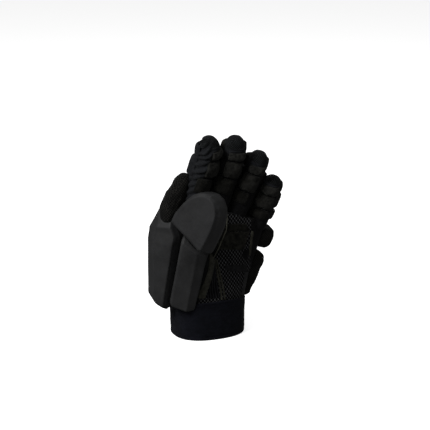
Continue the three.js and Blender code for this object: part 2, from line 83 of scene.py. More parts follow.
def table_value(rows, key, x):
    """A column of a table at any x, on a smooth curve through its rows."""
    xs = [row[0] for row in rows]
    if x <= xs[0]:
        return rows[0][key]
    if x >= xs[-1]:
        return rows[-1][key]
    i = next(k for k in range(1, len(xs)) if xs[k] >= x)
    y0, y1 = rows[i - 1][key], rows[i][key]
    width = xs[i] - xs[i - 1]

    def slope(k):
        if k == 0:
            return 0.0
        left = (rows[k][key] - rows[k - 1][key]) / (xs[k] - xs[k - 1])
        if k == len(rows) - 1:
            return left
        right = (rows[k + 1][key] - rows[k][key]) / (xs[k + 1] - xs[k])
        return 0.0 if left * right <= 0 else 2 * left * right / (left + right)

    t = (x - xs[i - 1]) / width
    m0, m1 = slope(i - 1) * width, slope(i) * width
    return (
        (2 * t**3 - 3 * t**2 + 1) * y0
        + (t**3 - 2 * t**2 + t) * m0
        + (-2 * t**3 + 3 * t**2) * y1
        + (t**3 - t**2) * m1
    )


# The forms of the hand, as in the part's source. Section columns: z, x, y, width, palm, back
HAND = [
    (24, 0, 0, 41.2, 33.5, 33.5),
    (46, 0, 0, 42.5, 33, 33),
    (62, 2.5, -0.5, 44, 30.5, 30),
    (80, 6, -1, 47, 27.5, 27),
    (98, 10.5, -1.5, 50, 24.5, 24),
    (114, 15, -2, 51.5, 21.5, 21.5),
    (128, 18.5, -3.5, 53, 18.5, 19.5),
    (144, 20, -4, 54.5, 17, 18),
    (162, 21, -5, 55, 16, 17),
]
KNUCKLES = {"x": 20, "z": 141, "slope": -0.36}
CUFF = {"width": 41.5, "depth": 34, "flare": 1.5, "top": 38.5, "slope": -0.2, "wall": 3.4}

# Joint points, facing azimuth and elevation, and profile columns: along, width, palm, back
MOUND = {
    "joints": [(-8, -8, 50), (-18, -18, 76), (-30, -31, 104)],
    "facing": (-50, 10),
    "profile": [
        (0, 8, 8, 8), (0.08, 14, 14, 14), (0.3, 19, 19, 17), (0.6, 18.5, 18, 16), (0.85, 15.5, 15, 13.5),
        (1, 10, 10, 9),
    ],
}
THUMB = {
    "joints": [(-20, -19, 80), (-30, -32, 106), (-28, -45, 137), (-22, -50, 169)],
    "facing": (-50, 12),
    "profile": [
        (0, 14, 14, 13), (0.2, 13.5, 13.5, 12.6), (0.4, 12.6, 12.6, 12), (0.56, 12, 11.4, 11.6),
        (0.72, 12, 12.4, 11.6), (0.86, 11, 11.4, 10.8), (0.94, 8.4, 8.6, 8.2), (0.985, 4.8, 4.8, 4.6),
        (1, 1, 1, 1),
    ],
}
# Bone columns: length, lean, bend
FINGERS = {
    "index": dict(
        x=-27, y=-3, z=138, turn=14, width=12.4, depth=12.8, pad=4.6, spread=(2.6, 0.8),
        creases=(0.54, 0.752), bones=[(50, 14, 11), (27, 8, 17), (23, -8, 16)],
    ),
    "middle": dict(
        x=3, y=-4, z=134, turn=-10, width=12.6, depth=13, pad=8, spread=(1.4, 2.6),
        creases=(0.53, 0.748), bones=[(51, 19, 10), (28, 13, 18), (23.5, 2, 20)],
    ),
    "ring": dict(
        x=26.5, y=-5, z=124, turn=-20, width=11.8, depth=12.4, pad=8, spread=(2.6, 1.6),
        creases=(0.475, 0.735), bones=[(44.5, 24, 10), (27, 23, 20), (22.5, 16, 24)],
    ),
    "little": dict(
        x=53, y=-5, z=108, turn=-30, width=10.9, depth=11.4, pad=7.5, spread=(0.8, 2.6),
        creases=(0.475, 0.728), bones=[(37, 24, 12), (20.5, 24, 22), (19.5, 20, 26)],
    ),
}
BEND_LENGTH = 7  # half the length in mm over which a joint bends


def finger_profile(first, second):
    """Rows of place, width, palm and back, as shares. The palm side pinches in at the creases."""
    return [
        (0, 1, 1, 1), (0.22, 1, 1.04, 1), (first - 0.065, 0.98, 1, 0.98), (first, 0.96, 0.88, 0.97),
        (first + 0.065, 0.98, 1, 0.96), ((first + second) / 2, 0.99, 1.03, 0.95),
        (second - 0.055, 0.97, 0.98, 0.94), (second, 0.96, 0.88, 0.93), (second + 0.055, 0.97, 0.98, 0.92),
        (0.87, 0.92, 0.95, 0.88), (0.93, 0.8, 0.82, 0.78), (0.975, 0.56, 0.58, 0.54), (1, 0.16, 0.16, 0.16),
    ]


class Limb:
    """A tube with a centre, a sideways and a backwards direction and half-sizes at each place s along it."""

    def __init__(self, length, frame_at, sizes_at):
        self.length = length
        self.frame_at = frame_at
        self.sizes_at = sizes_at

    def point(self, s, angle, offset=0.0):
        """The surface point at a place and an angle: 0 is the little finger's side, 90 back, 270 palm."""
        centre, sideways, backwards = self.frame_at(s)
        width, palm, back = self.sizes_at(s)
        c, n = cos(radians(angle)), sin(radians(angle))
        w = max(width + offset, 0.05)
        d = max((back if n > 0 else palm) + offset, 0.05)
        p = 2 / SQUARENESS
        return (
            centre
            + sideways * (w * copysign(abs(c) ** p, c))
            + backwards * (d * copysign(abs(n) ** p, n))
        )

    def outward(self, s, angle):
        """The unit vector that leaves the surface at a place and angle."""
        up = self.point(min(s + CURVE_STEP, self.length), angle) - self.point(s - CURVE_STEP, angle)
        around = self.point(s, angle + 3) - self.point(s, angle - 3)
        return around.cross(up).normalized()


def finger_limb(spec):
    bones = spec["bones"]
    joints = (bones[0][0], bones[0][0] + bones[1][0])
    length = joints[1] + bones[2][0]

    def blend(column, s):
        near, mid, end = (bone[column] for bone in bones)
        first, second = (smoothstep(s, joint - BEND_LENGTH, joint + BEND_LENGTH) for joint in joints)
        return radians(near + (mid - near) * first + (end - mid) * second)

    def axes(s):
        lean, bend = blend(1, s), blend(2, s)
        up = Vector((sin(lean), 0, cos(lean)))
        palm = Matrix.Rotation(radians(spec["turn"]), 3, up) @ Vector((0, -1, 0))
        along = up * cos(bend) + palm * sin(bend)
        backwards = up * sin(bend) - palm * cos(bend)
        return along, backwards

    count = int(ceil(length / CURVE_STEP)) + 1
    centres = [Vector((spec["x"], spec["y"], spec["z"]))]
    for i in range(count):
        centres.append(centres[-1] + axes((i + 0.5) * CURVE_STEP)[0] * CURVE_STEP)

    def frame_at(s):
        t = max(s, 0) / CURVE_STEP
        i = min(int(t), count - 1)
        centre = centres[i].lerp(centres[i + 1], t - i)
        if s < 0:
            centre = centres[0] + axes(0)[0] * s
        along, backwards = axes(s)
        return centre, backwards.cross(along), backwards

    profile = finger_profile(*spec["creases"])

    def sizes_at(s):
        sizes = (spec["width"], spec["depth"], spec["depth"])
        return tuple(size * table_value(profile, k, s / length) for k, size in enumerate(sizes, 1))

    return Limb(length, frame_at, sizes_at)


def jointed_limb(spec):
    """A limb through joint points on a smooth curve, as in the part's source."""
    pts = [Vector(p) for p in spec["joints"]]
    pts = [pts[0] * 2 - pts[1]] + pts + [pts[-1] * 2 - pts[-2]]
    samples = []
    for i in range(1, len(pts) - 2):
        four, knots = pts[i - 1 : i + 3], [0.0]
        for a, b in zip(four, four[1:]):
            knots.append(knots[-1] + (b - a).length ** 0.5)
        for k in range(40):
            row, t = four, knots[1] + (knots[2] - knots[1]) * k / 40
            for ahead in (1, 2):
                row = [a.lerp(b, (t - c) / (d - c)) for a, b, c, d in zip(row, row[1:], knots, knots[ahead:])]
            samples.append(row[0].lerp(row[1], (t - knots[1]) / (knots[2] - knots[1])))
    samples.append(pts[-2])
    places = [0.0]
    for a, b in zip(samples, samples[1:]):
        places.append(places[-1] + (b - a).length)
    length = places[-1]
    outward = direction(*spec["facing"])

    def frame_at(s):
        last = len(places) - 1
        i = max(1, next((k for k, q in enumerate(places) if q >= s), last))
        share = (s - places[i - 1]) / (places[i] - places[i - 1])
        centre = samples[i - 1].lerp(samples[i], share)
        along = (samples[min(last, i + 3)] - samples[max(0, i - 4)]).normalized()
        backwards = (outward - along * outward.dot(along)).normalized()
        return centre, backwards.cross(along), backwards

    def sizes_at(s):
        return tuple(table_value(spec["profile"], k, s / length) for k in (1, 2, 3))

    return Limb(length, frame_at, sizes_at)


def upright_limb(rows):
    """An upright limb from section rows of z, x, y, width, palm and back."""

    def frame_at(s):
        centre = Vector((table_value(rows, 1, s), table_value(rows, 2, s), s))
        return centre, Vector((1, 0, 0)), Vector((0, 1, 0))

    def sizes_at(s):
        return tuple(table_value(rows, k, s) for k in (3, 4, 5))

    return Limb(rows[-1][0], frame_at, sizes_at)


limbs = {name: finger_limb(spec) for name, spec in FINGERS.items()}
hand_limb = upright_limb(HAND)
mound_limb = jointed_limb(MOUND)
thumb_limb = jointed_limb(THUMB)


# Materials. Lengths in them are metres, and patterns lie on all three sides of a piece

PATTERN_BEND = 0.0007  # how far the threads of a pattern wander


class Graph:
    """Short names for making shader nodes."""

    def __init__(self, tree):
        self.tree = tree

    def node(self, kind, **settings):
        n = self.tree.nodes.new(kind)
        for key, value in settings.items():
            setattr(n, key, value)
        return n

    def put(self, value, socket):
        if isinstance(value, (int, float)):
            socket.default_value = value
        else:
            self.tree.links.new(value, socket)

    def math(self, operation, a, b=0.0):
        n = self.node("ShaderNodeMath", operation=operation)
        self.put(a, n.inputs[0])
        self.put(b, n.inputs[1])
        return n.outputs[0]

    def coords(self):
        return self.node("ShaderNodeTexCoord").outputs["Object"]

    def parts(self, vector):
        n = self.node("ShaderNodeSeparateXYZ")
        self.put(vector, n.inputs[0])
        return n.outputs[0], n.outputs[1], n.outputs[2]

    def noise(self, vector, scale, detail, rough, output="Fac"):
        n = self.node("ShaderNodeTexNoise")
        n.inputs["Scale"].default_value = scale
        n.inputs["Detail"].default_value = detail
        n.inputs["Roughness"].default_value = rough
        self.put(vector, n.inputs["Vector"])
        return n.outputs[output]

    def range(self, value, a, b, c=0.0, d=1.0):
        n = self.node("ShaderNodeMapRange")
        self.put(value, n.inputs["Value"])
        for key, v in zip(("From Min", "From Max", "To Min", "To Max"), (a, b, c, d)):
            n.inputs[key].default_value = v
        return n.outputs["Result"]

    def tint(self, fac, dark, light):
        n = self.node("ShaderNodeMix", data_type="RGBA")
        self.put(fac, n.inputs["Factor"])
        n.inputs[6].default_value = (*dark, 1)
        n.inputs[7].default_value = (*light, 1)
        return n.outputs[2]

    def bump(self, height, distance, strength, normal=None):
        n = self.node("ShaderNodeBump")
        n.inputs["Distance"].default_value = distance
        n.inputs["Strength"].default_value = strength
        self.put(height, n.inputs["Height"])
        if normal is not None:
            self.put(normal, n.inputs["Normal"])
        return n.outputs["Normal"]

    def three_sides(self, pattern):
        """A flat pattern laid on the sides, front and top of a piece, blended by where the surface faces."""
        co = self.coords()
        warp = self.node("ShaderNodeVectorMath", operation="MULTIPLY_ADD")
        self.put(self.noise(co, 70, 2, 0.5, "Color"), warp.inputs[0])
        warp.inputs[1].default_value = (PATTERN_BEND, PATTERN_BEND, PATTERN_BEND)
        self.put(co, warp.inputs[2])
        x, y, z = self.parts(warp.outputs[0])
        normal = self.node("ShaderNodeTexCoord").outputs["Normal"]
        facing = [self.math("POWER", self.math("ABSOLUTE", n), 5.0) for n in self.parts(normal)]
        total, weight = None, None
        for share, (u, v) in zip(facing, ((y, z), (x, z), (x, y))):
            part = self.math("MULTIPLY", pattern(self, u, v), share)
            total = part if total is None else self.math("ADD", total, part)
            weight = share if weight is None else self.math("ADD", weight, share)
        return self.math("DIVIDE", total, weight)


def material(name, color, rough, specular, sheen=0.0):
    """A new material, the maker of its nodes and its shader."""
    m = bpy.data.materials.new(name)
    m.use_nodes = True
    shader = m.node_tree.nodes["Principled BSDF"]
    shader.inputs["Base Color"].default_value = (*color, 1)
    shader.inputs["Roughness"].default_value = rough
    shader.inputs["Specular IOR Level"].default_value = specular
    if sheen:
        shader.inputs["Sheen Weight"].default_value = sheen
        shader.inputs["Sheen Roughness"].default_value = 0.5
    return m, Graph(m.node_tree), shader


def diamonds(wide, high):
    """Diamond holes between crossing threads: 1 in the middle of a hole and 0 on a thread."""

    def pattern(g, u, v):
        a, b = g.math("MULTIPLY", u, pi / wide), g.math("MULTIPLY", v, pi / high)
        waves = [g.math("ABSOLUTE", g.math("SINE", g.math(way, a, b))) for way in ("ADD", "SUBTRACT")]
        return g.math("MULTIPLY", *waves)

    return pattern


def ribs(pitch, along=0.0, up=1.0):
    """Ribs that lie across the direction with the two shares along and up."""

    def pattern(g, u, v):
        a = g.math("ADD", g.math("MULTIPLY", u, along), g.math("MULTIPLY", v, up))
        return g.math("ABSOLUTE", g.math("SINE", g.math("MULTIPLY", a, pi / pitch)))

    return pattern


def scaled(color, k):
    return tuple(c * k for c in color)


def foam_material(name, color):
    """A moulded foam with a matt leather-like skin, mottled in tone and roughness."""
    m, g, shader = material(name, color, 0.6, 0.16)
    co = g.coords()
    mottle = g.noise(co, 45, 5, 0.62)
    grain = g.noise(co, 1500, 3, 0.6)
    fac = g.math("ADD", g.math("MULTIPLY", mottle, 0.7), g.math("MULTIPLY", grain, 0.3))
    dark, light = scaled(color, 0.6), scaled(color, 1.42)
    g.put(g.tint(g.range(fac, 0.32, 0.68), dark, light), shader.inputs["Base Color"])
    g.put(g.range(mottle, 0.3, 0.7, 0.5, 0.72), shader.inputs["Roughness"])
    broad = g.bump(g.noise(co, 110, 3, 0.5), 0.0008, 0.5)
    g.put(g.bump(grain, 0.0003, 0.5, broad), shader.inputs["Normal"])
    return m


def suede_material(name, color, contrast=1.0):
    """A napped synthetic suede, with rubbed lighter places and darker creases."""
    m, g, shader = material(name, color, 0.95, 0.06, sheen=0.03)
    co = g.coords()
    nap = g.noise(co, 700, 5, 0.7)
    patches = g.noise(co, 150, 4, 0.65)
    fac = g.math("ADD", g.math("MULTIPLY", nap, 0.3), g.math("MULTIPLY", patches, 0.7))
    dark, light = scaled(color, 1 - 0.5 * contrast), scaled(color, 1 + 0.75 * contrast)
    g.put(g.tint(g.range(fac, 0.39, 0.61), dark, light), shader.inputs["Base Color"])
    broad = g.bump(patches, 0.0009, 0.6)
    g.put(g.bump(nap, 0.0005, 0.7, broad), shader.inputs["Normal"])
    return m


def woven_material(name, thread, hole, pattern, low, high, depth=0.0005, soft=0.5):
    """A cloth drawn by a pattern: threads where it is below low and holes where it is above high. soft is how
    much its tone varies."""
    m, g, shader = material(name, thread, 0.85, 0.06, sheen=0.02)
    fac = g.range(g.three_sides(pattern), low, high)
    uneven = g.range(g.noise(g.coords(), 120, 4, 0.6), 0.3, 0.7, 1 - soft, 1 + soft)
    cloth = g.node("ShaderNodeMix", data_type="RGBA", blend_type="MULTIPLY")
    cloth.inputs["Factor"].default_value = 1.0
    g.put(g.tint(fac, thread, hole), cloth.inputs[6])
    g.put(uneven, cloth.inputs[7])
    g.put(cloth.outputs[2], shader.inputs["Base Color"])
    g.put(g.bump(fac, -depth, 0.9), shader.inputs["Normal"])
    return m


M = {
    "foam": foam_material("moulded foam", (0.0178, 0.018, 0.0185)),
    # A lighter copy of the moulded foam for the palm-side wrist plate: painted light.
    "foam_light": foam_material("moulded foam light", (0.0225, 0.0226, 0.0231)),
    "foam_guard": foam_material("moulded foam of the guard", (0.0142, 0.0144, 0.015)),
    # A lighter copy of the moulded foam for the guard's wall that faces the little finger: painted light.
    "foam_wall": foam_material("rubbed wall of the guard", (0.0205, 0.0207, 0.0213)),
    # A darker copy of the moulded foam for the plates' sides that face the little finger: painted shade.
    "foam_shade": foam_material("duller side of the plates", (0.011, 0.0111, 0.0115)),
    "suede": suede_material("palm suede", (0.0104, 0.0103, 0.0082), 1.5),
    "suede_dark": suede_material("worn suede", (0.006, 0.0059, 0.0046), 1.5),
    "suede_tip": suede_material("suede at the fingertips", (0.0118, 0.0117, 0.0104)),
    "suede_grey": suede_material("finger suede", (0.0092, 0.0091, 0.008)),
    # A darker copy of the finger suede for the near grip pads: painted shade.
    "suede_low": suede_material("finger suede in the folds", (0.005, 0.0049, 0.0041)),
    "strip": suede_material("edge strip", (0.0285, 0.028, 0.0218), 0.8),
    "piping": suede_material("piping", (0.075, 0.073, 0.058), 0.4),
    "lycra": woven_material(
        "stretch knit", (0.0124, 0.0133, 0.0151), (0.0092, 0.0099, 0.0113),
        diamonds(0.0011, 0.0015), 0.2, 0.7, soft=0.35,
    ),
    "lycra_side": woven_material(
        "edge knit", (0.04, 0.0403, 0.041), (0.011, 0.011, 0.0113),
        diamonds(0.0016, 0.002), 0.2, 0.7, soft=0.4,
    ),
    "lycra_band": woven_material(
        "smooth band", (0.0155, 0.0156, 0.0164), (0.0054, 0.0054, 0.0058),
        diamonds(0.0016, 0.002), 0.2, 0.7, soft=0.6,
    ),
    "lycra_dark": woven_material(
        "dark stretch knit", (0.0052, 0.0053, 0.0056), (0.0018, 0.0018, 0.0021),
        diamonds(0.0011, 0.0015), 0.2, 0.7,
    ),
    "ribbed": woven_material(
        "ribbed stretch", (0.01, 0.01, 0.0108), (0.0012, 0.0012, 0.0016),
        ribs(0.0022), 0.25, 0.75,
    ),
    "gusset": woven_material(
        "ribbed gusset", (0.017, 0.0172, 0.0195), (0.001, 0.001, 0.0016),
        ribs(0.003, 1.0, 0.12), 0.2, 0.6, depth=0.0008,
    ),
    "pad_cloth": woven_material(
        "pad cloth", (0.0185, 0.0182, 0.0155), (0.0008, 0.0008, 0.0007),
        diamonds(0.0027, 0.0029), 0.2, 0.45, depth=0.0006,
    ),
    "side_cloth": woven_material(
        "side pad cloth", (0.0106, 0.0103, 0.0088), (0.0006, 0.0006, 0.0005),
        diamonds(0.003, 0.0032), 0.2, 0.42, depth=0.0008,
    ),
    "mesh": woven_material(
        "palm mesh", (0.08, 0.08, 0.084), (0.0003, 0.0003, 0.0004),
        diamonds(0.0039, 0.005), 0.06, 0.24, depth=0.0008, soft=0.3,
    ),
    "dotted": woven_material(
        "dotted fingertip", (0.003, 0.0034, 0.0036), (0.0175, 0.0192, 0.02),
        diamonds(0.0023, 0.0025), 0.5, 0.8, depth=-0.0006,
    ),
    "neoprene": woven_material(
        "neoprene", (0.0054, 0.006, 0.0094), (0.0032, 0.0036, 0.0062),
        diamonds(0.0009, 0.0009), 0.2, 0.7, depth=0.0002, soft=0.3,
    ),
}


# Mesh helpers

SKIN_WALL = 2.0
PATCH_SINK = 0.8  # how deep the underside of a patch lies in what it is sewn on
HELD_EDGE = 0.35  # the share of a patch's rounded edge that its seam holds
HELD_DEPTH = 2.5  # a sewn block is held from this far below its middle
CLOTH_FRAMES = 20
# Pieces for the cloth simulation: the object, how much larger its cloth is, its pressure, and its cap in mm
SEWN = []


def scene_object(name, data):
    obj = bpy.data.objects.new(name, data)
    bpy.context.scene.collection.objects.link(obj)
    return obj


def set_materials(mesh, mats, pick):
    """Makes a mesh smooth, and pick(face) is the number of each face's material."""
    mesh.materials.clear()
    for m in mats:
        mesh.materials.append(M[m])
    for poly in mesh.polygons:
        poly.use_smooth = True
        poly.material_index = pick(poly)


def new_object(name, verts, faces, mats, index=None):
    """A piece from points in the glove's own millimetres. index has the number of each face's material."""
    mesh = bpy.data.meshes.new(name)
    mesh.from_pydata([tuple(place(v)) for v in verts], [], faces)
    mesh.validate()
    obj = scene_object(name, mesh)
    set_materials(mesh, mats, lambda poly: index[poly.index] if index else 0)
    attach(obj, "root")
    return obj


def apply_modifiers(obj):
    mesh = bpy.data.meshes.new_from_object(obj.evaluated_get(bpy.context.evaluated_depsgraph_get()))
    obj.modifiers.clear()
    old, obj.data = obj.data, mesh
    bpy.data.meshes.remove(old)
    mesh.name = obj.name
    return mesh


def melt(obj, voxel, rounds):
    """Melts the forms of a piece into one skin, and smooths it in rounds."""
    remesh = obj.modifiers.new("remesh", "REMESH")
    remesh.mode = "VOXEL"
    remesh.voxel_size = voxel * MM
    smooth = obj.modifiers.new("smooth", "SMOOTH")
    smooth.iterations = rounds
    return apply_modifiers(obj)


def sew(obj, held, larger, pressure, cap):
    """Marks a padded piece for the cloth simulation, in which its held vertices stay where they are."""
    obj.vertex_groups.new(name="held").add(held, 1.0, "REPLACE")
    SEWN.append((obj, larger, pressure, cap))


def simulate():
    """Blows the sewn pieces up as cloth that is a little too large for its seams, so that it puckers."""
    for obj, larger, pressure, _ in SEWN:
        cloth = obj.modifiers.new("cloth", "CLOTH")
        settings = cloth.settings
        settings.quality = 5
        settings.mass = 0.05
        settings.tension_stiffness = settings.compression_stiffness = settings.shear_stiffness = 5
        settings.bending_stiffness = 0.01
        settings.vertex_group_mass = "held"
        settings.shrink_min = -larger
        settings.use_pressure = True
        settings.uniform_pressure_force = pressure
        settings.effector_weights.gravity = 0
        cloth.collision_settings.use_collision = False
        cloth.point_cache.frame_start, cloth.point_cache.frame_end = 1, CLOTH_FRAMES
    for number in range(1, CLOTH_FRAMES + 1):
        bpy.context.scene.frame_set(number)
    graph = bpy.context.evaluated_depsgraph_get()
    results = []
    for obj, _, _, _ in SEWN:
        results.append([v.co.copy() for v in obj.evaluated_get(graph).to_mesh().vertices])
        obj.evaluated_get(graph).to_mesh_clear()
    for (obj, _, _, cap), result in zip(SEWN, results):
        obj.modifiers.remove(obj.modifiers["cloth"])
        for v, co in zip(obj.data.vertices, result):
            step = co - v.co
            v.co += step * min(1.0, cap * MM / max(step.length, 1e-9))
    bpy.context.scene.frame_set(1)


def wrinkle(p, scale, seed):
    return noise.noise(Vector(p) * scale + Vector((seed * 7.3, seed * 3.1, seed * 5.7)))


def ring_faces(around, steps, base=0):
    """The faces between rings of points, from the point with the number base on."""
    faces = []
    for r in range(steps):
        for k in range(around):
            a, b = base + r * around + k, base + r * around + (k + 1) % around
            faces.append((a, b, b + around, a + around))
    return faces


def tube(name, limb, start, around, steps, mats, relief, pick=lambda s, angle: 0):
    """A fabric tube with a closed tip. relief(s, angle, p) is how far its outside moves, and pick(s, angle)
    is the number of its material."""
    end = limb.length
    verts = []
    outer = [start + (end - start) * (1 - (1 - i / steps) ** 1.25) for i in range(steps + 1)]
    for s in outer:
        for k in range(around):
            angle = 360 * k / around
            p = limb.point(s, angle)
            verts.append(p + limb.outward(min(s, end - 0.6), angle) * relief(s, angle, p))
    inner = [start + (end - SKIN_WALL - start) * i / 20 for i in range(21)]
    for s in inner:
        for k in range(around):
            verts.append(limb.point(s, 360 * k / around, -SKIN_WALL))
    base = len(outer) * around
    faces = ring_faces(around, len(outer) - 1)
    middles = [(a + b) / 2 for a, b in zip(outer, outer[1:])]
    index = [pick(s, 360 * (k + 0.5) / around) for s in middles for k in range(around)]
    faces += [(b, a, d, c) for a, b, c, d in ring_faces(around, len(inner) - 1, base)]
    for k in range(around):
        a, b = k, (k + 1) % around
        faces.append((b, a, base + a, base + b))
    index += [0] * (len(faces) - len(index))
    faces.append(tuple(range(base - around, base)))
    faces.append(tuple(range(len(verts) - around, len(verts)))[::-1])
    index += [pick(end, 90), 0]
    return new_object(name, verts, faces, mats, index)


def patch(
    name, surface, cells, size, thickness, edge, mat, roundness, seed,
    groove=None, crown=0.0, spread=(0, 0), cloth=None,
):
    """A padded or sewn patch on surface(u, v), which gives a point and the way the patch rises there.
    u and v go from -1 to 1, cells has the counts of faces along them, and size its half-sizes in mm. Its edge
    rounds over, a groove (its place, depth and half-width) runs inside it, its top spreads by two amounts at
    its low and high u, and cloth is what sew needs."""
    nu, nv = cells
    top, under, held = [], [], []
    for j in range(nv + 1):
        for i in range(nu + 1):
            u, v = 2 * i / nu - 1, 2 * j / nv - 1
            cu = u * sqrt(1 - roundness * v * v / 2)
            cv = v * sqrt(1 - roundness * u * u / 2)
            p, up = surface(cu, cv)
            border = min((1 - abs(u)) * size[0], (1 - abs(v)) * size[1])
            t = min(border / edge, 1.0)
            height = thickness * sqrt(1 - (1 - t) ** 2) + crown * (1 - u * u) * (1 - v * v)
            if groove:
                height -= groove[1] * bell(border - groove[0], groove[2])
            height += 0.18 * thickness**0.5 * wrinkle(p, 0.16, seed) * t
            beside = Vector((0, 0, 0))
            if any(spread):
                side = surface(min(cu + 0.02, 1), cv)[0] - surface(max(cu - 0.02, -1), cv)[0]
                side = (side - up * side.dot(up)).normalized()
                amount = spread[1] * smoothstep(u, 0.3, 1) - spread[0] * smoothstep(-u, 0.3, 1)
                beside = side * amount * min(1.0, height / (0.5 * thickness))
            if t < HELD_EDGE:
                held.append(len(top))
            top.append(p + up * max(height, 0.02) + beside)
            under.append(p - up * PATCH_SINK)
    count = (nu + 1) * (nv + 1)
    faces = []
    for j in range(nv):
        for i in range(nu):
            a = j * (nu + 1) + i
            b, c, d = a + 1, a + nu + 2, a + nu + 1
            faces.append((a, b, c, d))
            faces.append((count + a, count + d, count + c, count + b))
    last, row = count - 1, nu + 1
    rim = [*range(nu), *range(nu, last, row), *range(last, last - nu, -1), *range(last - nu, 0, -row)]
    for a, b in zip(rim, rim[1:] + rim[:1]):
        faces.append((b, a, count + a, count + b))
    obj = new_object(name, top + under, faces, [mat])
    bm = bmesh.new()
    bm.from_mesh(obj.data)
    bmesh.ops.recalc_face_normals(bm, faces=bm.faces)
    bm.to_mesh(obj.data)
    bm.free()
    if cloth:
        sew(obj, held + list(range(count, 2 * count)), *cloth)
    return obj


def limb_surface(limb, s0, s1, a0, a1, offset, to_back=False):
    """The stretch of a limb's surface between two places and two angles. The patch rises outwards, or mostly
    straight to the back."""

    def surface(u, v):
        s = s0 + (s1 - s0) * (v + 1) / 2
        angle = a0 + (a1 - a0) * (u + 1) / 2
        up = limb.outward(s, angle)
        if to_back:
            up = (up * 0.45 + limb.frame_at(s)[2]).normalized()
        return limb.point(s, angle, offset), up

    return surface


def moulded(node, mats, voxel, rounds, grow, relief, scale, shape=None, cloth=None):
    """A soft, slightly uneven copy of a CAD node: foam, or a sewn pad if cloth has what sew needs. A second
    material, another tone of the same foam, is for its sides that face the little finger: painted shade on
    the wrist plates and painted light on the guard's wall. grow is how far it swells in mm, and shape(p,
    normal) is how much further a point p moves out."""
    name = ("sewn_" if cloth else "moulded_") + node
    obj = scene_object(name, nodes[node].data.copy())
    mesh = melt(obj, voxel, rounds)
    normals = [v.normal.copy() for v in mesh.vertices]
    for v, n in zip(mesh.vertices, normals):
        p = own(v.co)
        move = grow + relief * wrinkle(p, scale, len(name))
        if shape:
            move += shape(p, n)
        v.co += n * (move * MM)
    set_materials(mesh, mats, lambda poly: int(len(mats) > 1 and poly.normal.x > 0.4))
    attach(obj, "root")
    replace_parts(obj, node)
    if cloth:
        middle = sum((v.co for v in mesh.vertices), Vector()) / len(mesh.vertices)
        height = middle.z * 1000
        axis = place((table_value(HAND, 1, height), table_value(HAND, 2, height), height))
        outward = (middle - axis).normalized()
        held = [v.index for v in mesh.vertices if (v.co - middle).dot(outward) < -HELD_DEPTH * MM]
        sew(obj, held, *cloth)
    return obj


# Moulded foam, such as the thumb guard with the seam between its face and its wall, and the hand's sewn pads

GUARD_AT = Vector((-42, -58, 147))
GUARD_OUT = direction(-50, 12)
GUARD_RIGHT = Vector((0, 0, 1)).cross(GUARD_OUT).normalized()
GUARD_UP = GUARD_OUT.cross(GUARD_RIGHT)


def bezier(points, steps):
    """Points of a quadratic or cubic curve, without its first."""
    out = []
    for i in range(1, steps + 1):
        row, t = [Vector(p) for p in points], i / steps
        while len(row) > 1:
            row = [a.lerp(b, t) for a, b in zip(row, row[1:])]
        out.append(row[0])
    return out


# The right-hand stretch of the face's outline in its plane, from its low corner over the top
GUARD_SEAM = (
    bezier([(8, -29), (12, -32), (13.5, -28)], 5)
    + bezier([(13.5, -28), (20, -13), (29, 4), (25.5, 17)], 16)
    + bezier([(25.5, 17), (22, 31), (8, 35), (-4, 28)], 14)
    + bezier([(-4, 28), (-14, 21), (-21, 11), (-27.5, 1.5)], 12)
)


def guard_shape(p, n):
    """The groove along the seam, which fades out towards the thumb's side."""
    q = p - GUARD_AT
    if q.dot(GUARD_OUT) < -8:
        return 0.0
    flat = Vector((q.dot(GUARD_RIGHT), q.dot(GUARD_UP)))
    near = 99.0
    for a, b in zip(GUARD_SEAM, GUARD_SEAM[1:]):
        edge = b - a
        t = min(max((flat - a).dot(edge) / edge.length_squared, 0.0), 1.0)
        near = min(near, (flat - a - edge * t).length)
    return -0.9 * smoothstep(flat.x, -18, 4) * bell(near - 0.4, 0.75)


def plate_shape(p, n):
    """The outer side of the wrist plate at the back bulges towards the thumb, but not round its top."""
    return 1.8 * smoothstep(0.3 * abs(n.z) - n.x, 0.25, 0.7) * (1 - smoothstep(p.z, 112, 128))


def outer_pad_shape(p, n):
    """The tops of the two outer pads puff out."""
    return 1.5 * smoothstep(n.z, -0.2, 0.6)


guard = moulded(
    "thumb_guard", ["foam_guard", "foam_wall"], voxel=0.95, rounds=3, grow=0.25, relief=0.5, scale=0.035,
    shape=guard_shape,
)
# The guard's wall that faces the little finger takes the lighter copy of the foam: painted light.
for poly in guard.data.polygons:
    poly.material_index = int(poly.normal.dot(GUARD_RIGHT) > 0.35 and poly.normal.dot(GUARD_OUT) < 0.85)
# The palm-side plate takes the lighter copy of the foam: painted light.
moulded(
    "wrist_plate_palm", ["foam_light", "foam_shade"], voxel=0.95, rounds=3, grow=0.2, relief=0.4,
    scale=0.035,
)
moulded(
    "wrist_plate_back", ["foam", "foam_shade"], voxel=1.0, rounds=3, grow=0.2, relief=0.4, scale=0.035,
    shape=plate_shape,
)
for node in [n for n in nodes if n.startswith("back_pad_")]:
    moulded(node, ["foam"], voxel=1.0, rounds=5, grow=0.4, relief=0.5, scale=0.06)
for node in [n for n in nodes if n.startswith("knuckle_pad_")] + ["outer_pad_knuckle", "outer_pad_hand"]:
    moulded(
        node, ["pad_cloth"], voxel=1.3, rounds=4, grow=0.3, relief=0.8, scale=0.09,
        shape=outer_pad_shape if node.startswith("outer") else None, cloth=(0.03, 8, 1.2),
    )
moulded(
    "index_side_pad", ["side_cloth"], voxel=1.4, rounds=4, grow=0.2, relief=0.9, scale=0.06,
    cloth=(0.03, 6, 1.2),
)


# Fingers

